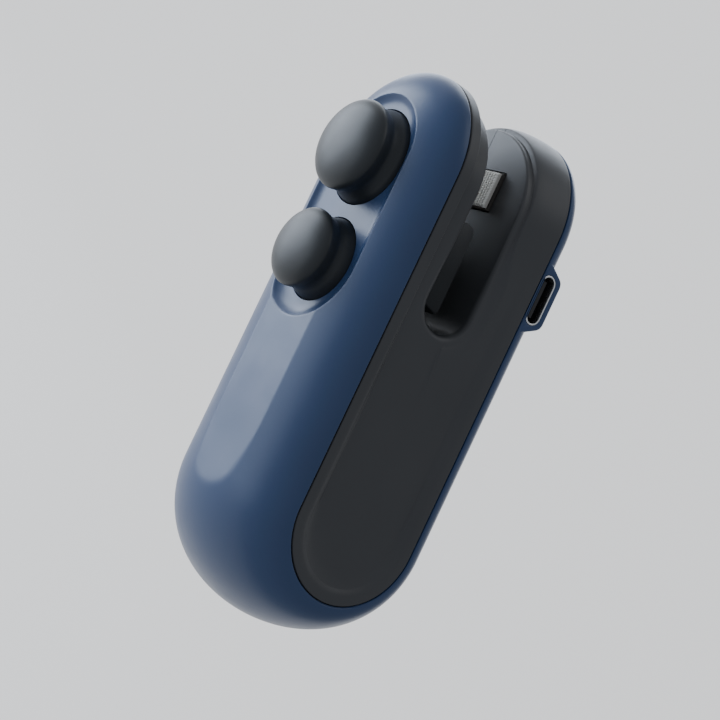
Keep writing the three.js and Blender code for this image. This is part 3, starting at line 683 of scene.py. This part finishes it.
def knob_stem():
    """Stem of the sealing knob, from its cap through the front wall of the slot to the shoe."""
    start, end = RECESS_Y - KNOB_CEILING - 0.5, SLOT_FRONT - 0.1
    profile = [(STEM_RADIUS, start), (STEM_RADIUS, end - 0.1), (STEM_RADIUS - 0.1, end)]
    return turned("stem", profile, SEALING_KNOB["z"], 48)


def knob_post():
    """Post of the power knob, from its cap down to the switch."""
    start, end = RECESS_Y - KNOB_CEILING - 0.5, SWITCH_TOP_Y - 0.3
    profile = [(POST_RADIUS, start), (POST_RADIUS, end - 0.1), (POST_RADIUS - 0.1, end)]
    return turned("post", profile, POWER_KNOB["z"], 48)


# ---------- shoe, pad, heater and guide ----------


def heater_tape():
    """Woven tape: ribs along the jaw's height with a finer weave, folded down over all its edges."""
    half_x, half_z, face = TAPE["half_x"], TAPE["half_z"], TAPE["face"]
    fold, back = TAPE["fold"], face + TAPE["depth"]
    per_rib = 14
    u = np.linspace(-half_x, half_x, TAPE["ribs"] * per_rib + 1)
    angles = np.linspace(0, math.pi / 2, 8)
    edge = [(half_z - fold * (1 - math.cos(a)), face + fold * (1 - math.sin(a))) for a in angles]
    flat = [(v, face) for v in np.linspace(half_z - fold, fold - half_z, 90)[1:-1]]
    other_edge = [(-v, y) for v, y in edge[::-1]]
    line = np.array([(half_z, back), *edge, *flat, *other_edge, (-half_z, back)])
    outer = np.zeros((len(u), len(line), 3))
    for i, x in enumerate(u):
        rib = abs(math.sin(math.pi * TAPE["ribs"] * (x + half_x) / (2 * half_x)))
        pick = 0.5 + 0.5 * np.cos(2 * math.pi * line[:, 0] / TAPE["pick"] + math.pi * (i // per_rib))
        end = np.clip(fold - (half_x - abs(x)), 0, None)
        drop = fold - math.sqrt(fold**2 - end**2)
        sink = TAPE_GROOVE * (1 - rib**0.6) + TAPE_PICK_HEIGHT * (1 - pick) + drop
        y = np.minimum(line[:, 1] + sink, back)
        outer[i] = np.column_stack([np.full(len(line), x), y, HEATER_Z + line[:, 0]])
    inner = outer.copy()
    inner[..., 1] = back + 0.02
    return shell("heater_tape_weave", outer, inner, sharp=70)


def press_shoe():
    low_z, high_z, back_y, thickness = 73.7, 85.6, -6.1, 1.5
    centre = (0, back_y + thickness / 2, (low_z + high_z) / 2)
    return block("press_shoe_plate", centre, (7.5, thickness / 2, (high_z - low_z) / 2), 1, 1.5, 0.3)


def press_pad():
    face, thickness = -4.5, 1.2
    centre = (0, face + thickness / 2, HEATER_Z)
    return block("press_pad_block", centre, (7, thickness / 2, 3.6), 1, 1.0, 0.25)


def bag_guide():
    """Dark block low in the slot, with a round top corner and a slanted lower end."""
    front, back, low, high, corner = -6.1, -1.3, 57.3, 73.2, 1.6
    side = [(front, low + 1.2), (back - 0.5, low + 0.1), (back - 0.1, low + 0.35), (back, low + 0.9)]
    top = [(back - corner + corner * math.cos(a), high - corner + corner * math.sin(a))
           for a in np.linspace(0, math.pi / 2, 8)]
    outline = np.array([*side, *top, (front, high)])
    middle = outline.mean(axis=0)
    rounding = [(12, 0.35), (11.9, 0.15), (11.7, 0.03), (11.5, 0)]
    rings = []
    for x, pull in [(-x, pull) for x, pull in rounding] + rounding[::-1]:
        spread = outline - middle
        placed = middle + spread * (1 - pull / np.linalg.norm(spread, axis=1))[:, None]
        placed[:, 0] = np.maximum(placed[:, 0], front)
        rings.append(np.column_stack([np.full(len(placed), x), placed]))
    return loft("bag_guide_block", rings, sharp=40, closed_ends=True)


# ---------- socket and springs ----------


def usb_shell(count=96):
    half_length, half_width, wall = SOCKET["length"] / 2, SOCKET["width"] / 2, SOCKET["wall"]
    front, back = HALF_WIDTH, HALF_WIDTH - SOCKET["depth"]
    outside = [(back, 0.05), (back + 0.2, 0), (front - 0.08, 0), (front - 0.02, 0.03), (front, 0.09)]
    inside = [(front, wall - 0.09), (front - 0.03, wall - 0.02), (front - 0.1, wall), (back + 0.8, wall)]
    rings = []
    for x, shrink in outside + inside:
        rings.append(stadium_ring(half_length - shrink, half_width - shrink, x, count))
    return loft("usb_shell_ring", rings, sharp=50)


def usb_backing():
    """Dark insulator that closes the socket behind its tongue."""
    centre = (HALF_WIDTH - SOCKET["depth"] + 0.5, SOCKET["y"], SOCKET["z"])
    half = (0.4, SOCKET["width"] / 2 - 0.35, SOCKET["length"] / 2 - 0.35)
    return block("usb_backing", centre, half, 0, 1.2, 0.05)


def coil(name, radius, wire, from_y, to_y, turns, centre_z):
    """Coil spring along y with an even pitch; its wire is capped at both ends."""
    steps, sides = turns * 40, 12
    rings = []
    for i in range(steps + 1):
        share = i / steps
        angle = 2 * math.pi * turns * share
        y = from_y + wire + (to_y - from_y - 2 * wire) * share
        for_side = np.linspace(0, 2 * math.pi, sides, endpoint=False)
        r = radius + wire * np.cos(for_side)
        rings.append(np.stack([r * math.cos(angle), y + wire * np.sin(for_side),
                               centre_z + r * math.sin(angle)], axis=-1))
    return loft(name, rings, sharp=60, closed_ends=True)


# ---------- materials ----------


def new_material(name):
    material = bpy.data.materials.new(name)
    material.use_nodes = True
    nodes, links = material.node_tree.nodes, material.node_tree.links
    nodes.clear()
    output = nodes.new("ShaderNodeOutputMaterial")
    shader = nodes.new("ShaderNodeBsdfPrincipled")
    links.new(shader.outputs["BSDF"], output.inputs["Surface"])
    return material, nodes, links, shader


def noise(nodes, links, scale, detail=3.0, stretch=(1, 1, 1)):
    """Noise in object space, in cycles per metre."""
    place = nodes.new("ShaderNodeTexCoord")
    mapping = nodes.new("ShaderNodeMapping")
    mapping.inputs["Scale"].default_value = stretch
    texture = nodes.new("ShaderNodeTexNoise")
    texture.inputs["Scale"].default_value = scale
    texture.inputs["Detail"].default_value = detail
    links.new(place.outputs["Object"], mapping.inputs["Vector"])
    links.new(mapping.outputs["Vector"], texture.inputs["Vector"])
    return texture.outputs["Fac"]


def ranged(nodes, links, value, start, stop, low, high):
    """Map value from start..stop to low..high, clamped."""
    step = nodes.new("ShaderNodeMapRange")
    for name, amount in [("From Min", start), ("From Max", stop), ("To Min", low), ("To Max", high)]:
        step.inputs[name].default_value = amount
    links.new(value, step.inputs["Value"])
    return step.outputs["Result"]


def moulded(name, color, roughness, variation=0.12, grain=2600, grain_height=0.00001, metallic=0.0,
            coat=0.0, stretch=(1, 1, 1), specular=0.5):
    """Moulded or machined surface: fine grain in the bump, and faint patches in colour and roughness."""
    material, nodes, links, shader = new_material(name)
    patches = noise(nodes, links, 60, 2.0)
    tone = nodes.new("ShaderNodeMix")
    tone.data_type = "RGBA"
    tone.inputs["A"].default_value = (*[c * (1 - variation) for c in color], 1)
    tone.inputs["B"].default_value = (*[min(c * (1 + variation), 1) for c in color], 1)
    links.new(patches, tone.inputs["Factor"])
    links.new(tone.outputs["Result"], shader.inputs["Base Color"])
    smudges = noise(nodes, links, 180, 4.0)
    uneven = ranged(nodes, links, smudges, 0.3, 0.7, roughness * 0.9, roughness * 1.1)
    links.new(uneven, shader.inputs["Roughness"])
    bump = nodes.new("ShaderNodeBump")
    bump.inputs["Strength"].default_value = 0.5
    bump.inputs["Distance"].default_value = grain_height
    links.new(noise(nodes, links, grain, 2.0, stretch), bump.inputs["Height"])
    links.new(bump.outputs["Normal"], shader.inputs["Normal"])
    shader.inputs["Metallic"].default_value = metallic
    shader.inputs["Coat Weight"].default_value = coat
    shader.inputs["Specular IOR Level"].default_value = specular
    return material


def number(nodes, links, operation, *values):
    """Math node on sockets or plain numbers."""
    step = nodes.new("ShaderNodeMath")
    step.operation = operation
    for socket, value in zip(step.inputs, values):
        if isinstance(value, bpy.types.NodeSocket):
            links.new(value, socket)
        else:
            socket.default_value = value
    return step.outputs["Value"]


def tint(nodes, links, shader, amount, color):
    """Mix the shader's base colour towards color by amount."""
    base = shader.inputs["Base Color"].links[0].from_socket
    mix = nodes.new("ShaderNodeMix")
    mix.data_type = "RGBA"
    links.new(amount, mix.inputs["Factor"])
    links.new(base, mix.inputs["A"])
    mix.inputs["B"].default_value = (*color, 1)
    links.new(mix.outputs["Result"], shader.inputs["Base Color"])


def object_place(nodes, links):
    """Separate object coordinates, in metres."""
    place_in = nodes.new("ShaderNodeTexCoord")
    split = nodes.new("ShaderNodeSeparateXYZ")
    links.new(place_in.outputs["Object"], split.inputs["Vector"])
    return split.outputs


def paint_slot_shade(material):
    """Painted shade: the slot's walls are darker towards its lower end, as shade deep in the slot, and more
    matte there.
    """
    nodes, links = material.node_tree.nodes, material.node_tree.links
    shader = next(node for node in nodes if node.type == "BSDF_PRINCIPLED")
    x, y, _ = object_place(nodes, links)
    arc_x, middle_y, _ = to_row((0, SLOT_MID_Y, SLOT_ARC_Z))
    beyond = number(nodes, links, "MAXIMUM", number(nodes, links, "SUBTRACT", x, arc_x), 0)
    aside = number(nodes, links, "SUBTRACT", y, middle_y)
    squares = [number(nodes, links, "MULTIPLY", value, value) for value in (beyond, aside)]
    distance = number(nodes, links, "SQRT", number(nodes, links, "ADD", *squares))
    wall = SLOT_RADIUS * MM
    near = ranged(nodes, links, distance, wall + 0.1 * MM, wall + 0.8 * MM, 1, 0)
    deep = ranged(nodes, links, x, arc_x - 20 * MM, arc_x - 5 * MM, 0, 1)
    amount = number(nodes, links, "MULTIPLY", near, deep)
    # painted shade: near black tint on the walls deep in the slot
    tint(nodes, links, shader, amount, (0.026, 0.028, 0.03))
    links.new(ranged(nodes, links, amount, 0, 1, 0.35, 0.12), shader.inputs["Specular IOR Level"])


def paint_groove_shade(material):
    """Painted shade in the grooves between the ribs of the heater's tape."""
    nodes, links = material.node_tree.nodes, material.node_tree.links
    shader = next(node for node in nodes if node.type == "BSDF_PRINCIPLED")
    _, _, z = object_place(nodes, links)
    first_groove = to_row((-TAPE["half_x"], 0, 0))[2]
    pitch = 2 * TAPE["half_x"] * MM / TAPE["ribs"]
    beyond = number(nodes, links, "SUBTRACT", z, first_groove)
    turns = number(nodes, links, "MULTIPLY", beyond, 2 * math.pi / pitch)
    wave = number(nodes, links, "COSINE", turns)
    # painted shade: the tape is tinted darker along each groove between its ribs
    tint(nodes, links, shader, ranged(nodes, links, wave, 0.2, 1, 0, 0.7), (0.28, 0.26, 0.23))


def finishes():
    made = {
        "band_plastic": moulded("band_plastic", (0.022, 0.048, 0.118), 0.34, 0.08, specular=0.4),
        "cover_plastic": moulded("cover_plastic", (0.045, 0.046, 0.05), 0.4, 0.1, specular=0.35),
        "knob_plastic": moulded("knob_plastic", (0.014, 0.017, 0.02), 0.42, 0.1, specular=0.4),
        "woven_tape": moulded("woven_tape", (0.9, 0.88, 0.83), 0.9, 0.15, 5200, 0.00004),
        "pad_silicone": moulded("pad_silicone", (0.5, 0.48, 0.43), 0.6, 0.08),
        "steel": moulded("steel", (0.6, 0.6, 0.61), 0.3, 0.06, 4000, 0.000004, 1.0, stretch=(1, 6, 1)),
        "socket_steel": moulded("socket_steel", (0.82, 0.82, 0.83), 0.22, 0.04, 5000, 0.000003, 1.0),
        "ceramic": moulded("ceramic", (0.045, 0.04, 0.036), 0.8, 0.2, 3200, 0.00003),
        "board": moulded("board", (0.012, 0.09, 0.04), 0.35, 0.2, 1500, 0.000006),
        "chip": moulded("chip", (0.012, 0.012, 0.014), 0.5, 0.15, 4500, 0.00001),
        "cell_wrap": moulded("cell_wrap", (0.03, 0.16, 0.07), 0.28, 0.1, 900, 0.00001, coat=0.4),
        "red_wire": moulded("red_wire", (0.42, 0.02, 0.02), 0.4, 0.1, 3000, 0.000006),
        "black_wire": moulded("black_wire", (0.012, 0.012, 0.012), 0.4, 0.1, 3000, 0.000006),
    }
    # painted shade deep in the slot
    paint_slot_shade(made["cover_plastic"])
    # painted shade in the grooves of the tape
    paint_groove_shade(made["woven_tape"])
    return made


FINISHES = finishes()
NODE_SLOTS = {row["node"]: row["material_slot"] for row in frame["record"]["subparts"]}
BODIES = frame["record"]["behaviour"]["bodies"]


def dress(piece, slot_name):
    piece.data.materials.clear()
    piece.data.materials.append(FINISHES[slot_name])


def place(piece, node):
    """The piece stands for the CAD node: it has its body, its slot and its finish."""
    dress(piece, NODE_SLOTS[node])
    body = next(name for name, members in BODIES.items() if node in members)
    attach(piece, body)
    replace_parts(piece, node)
    return piece


# ---------- build ----------

place(outer_band(), "outer_band")
place(side_cover(1), "right_cover")
place(side_cover(-1), "left_cover")
place(join(knob("sealing_knob_cap", SEALING_KNOB), [knob_stem()]), "sealing_knob")
place(join(knob("power_knob_cap", POWER_KNOB), [knob_post()]), "power_knob")
place(heater_tape(), "heater_tape")
place(press_shoe(), "press_shoe")
place(press_pad(), "press_pad")
place(bag_guide(), "bag_guide")
place(usb_shell(), "usb_shell")
backing = usb_backing()
dress(backing, "chip")
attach(backing, "housing")

for node, joint, radius, wire, from_y, to_y, turns, centre_z, travel in SPRINGS:
    spring = place(coil(node + "_coil", radius, wire, from_y, to_y, turns, centre_z), node)
    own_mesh(spring)

replaced = {name for o in bpy.context.scene.objects for name in o.get("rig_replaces", [])}
for node, piece in frame["nodes"].items():
    if node in replaced:
        continue
    dress(piece, NODE_SLOTS[node])
    piece.data.polygons.foreach_set("use_smooth", [True] * len(piece.data.polygons))
    piece.data.set_sharp_from_angle(angle=math.radians(35))
    soften = piece.modifiers.new("soften", "BEVEL")
    soften.width = KEPT_BEVEL * MM
    soften.segments = 2
    soften.limit_method = "ANGLE"
    soften.angle_limit = math.radians(40)

# ---------- floor, light and camera ----------


def floor():
    """Wide plain sheet far below the sealer, which floats over it."""
    size, count = 6.0, 41
    line = np.linspace(-size, size, count)
    mesh = bpy.data.meshes.new("floor")
    points = [(x, y, FLOOR_Z) for y in line for x in line]
    mesh.from_pydata(points, [], grid_faces(count, count))
    sheet = bpy.data.objects.new("floor", mesh)
    bpy.context.scene.collection.objects.link(sheet)
    paper = moulded("floor_paper", (0.8, 0.8, 0.8), 0.9, 0.004, 400, 0.00002, specular=0.1)
    sheet.data.materials.append(paper)


def floor_light():
    """Wide light under the sealer that shines only down on the floor."""
    data = bpy.data.lights.new("floor_light", "AREA")
    data.shape = "SQUARE"
    data.size = FLOOR_LIGHT_SIZE
    data.energy = FLOOR_LIGHT_RADIANCE * math.pi * FLOOR_LIGHT_SIZE**2
    light = bpy.data.objects.new("floor_light", data)
    light.location = (0, 0, FLOOR_LIGHT_Z)
    light.visible_camera = False
    bpy.context.scene.collection.objects.link(light)


def softbox(name, direction, distance, size, radiance, color):
    """Square softbox that looks at the sealer's middle from a direction, with the given brightness."""
    target = Vector((0, 0, HALF_WIDTH * MM))
    data = bpy.data.lights.new(name, "AREA")
    data.shape = "RECTANGLE"
    data.size, data.size_y = size
    data.energy = radiance * math.pi * size[0] * size[1]
    data.color = color
    light = bpy.data.objects.new(name, data)
    away = Vector(direction).normalized()
    light.location = target + away * distance
    light.rotation_mode = "QUATERNION"
    light.rotation_quaternion = (-away).to_track_quat("-Z", "Y")
    light.visible_camera = False
    bpy.context.scene.collection.objects.link(light)


floor()
floor_light()
for box in SOFTBOXES:
    softbox(*box)


def studio():
    """Sky that is bright on the knobs' side and dark behind the sealer."""
    world = bpy.data.worlds.new("studio")
    world.use_nodes = True
    nodes, links = world.node_tree.nodes, world.node_tree.links
    place_in = nodes.new("ShaderNodeTexCoord")
    split = nodes.new("ShaderNodeSeparateXYZ")
    ramp = nodes.new("ShaderNodeMapRange")
    ramp.inputs["From Min"].default_value = -1
    ramp.inputs["From Max"].default_value = 0.7
    mix = nodes.new("ShaderNodeMix")
    mix.data_type = "RGBA"
    mix.inputs["A"].default_value = SKY_BRIGHT
    mix.inputs["B"].default_value = SKY_DARK
    links.new(place_in.outputs["Generated"], split.inputs["Vector"])
    links.new(split.outputs["Y"], ramp.inputs["Value"])
    links.new(ramp.outputs["Result"], mix.inputs["Factor"])
    links.new(mix.outputs["Result"], nodes["Background"].inputs["Color"])
    nodes["Background"].inputs["Strength"].default_value = 1.0
    bpy.context.scene.world = world


studio()

camera_data = bpy.data.cameras.new("camera")
camera_data.lens = CAMERA_LENS
camera_data.sensor_width = 36
camera = bpy.data.objects.new("camera", camera_data)
turn = Matrix((CAMERA_RIGHT, CAMERA_UP, CAMERA_TOWARD)).transposed().to_4x4()
camera.matrix_world = Matrix.Translation(CAMERA_PLACE) @ turn
camera_data.clip_start = 0.01
camera_data.clip_end = 20
bpy.context.scene.collection.objects.link(camera)
bpy.context.scene.camera = camera
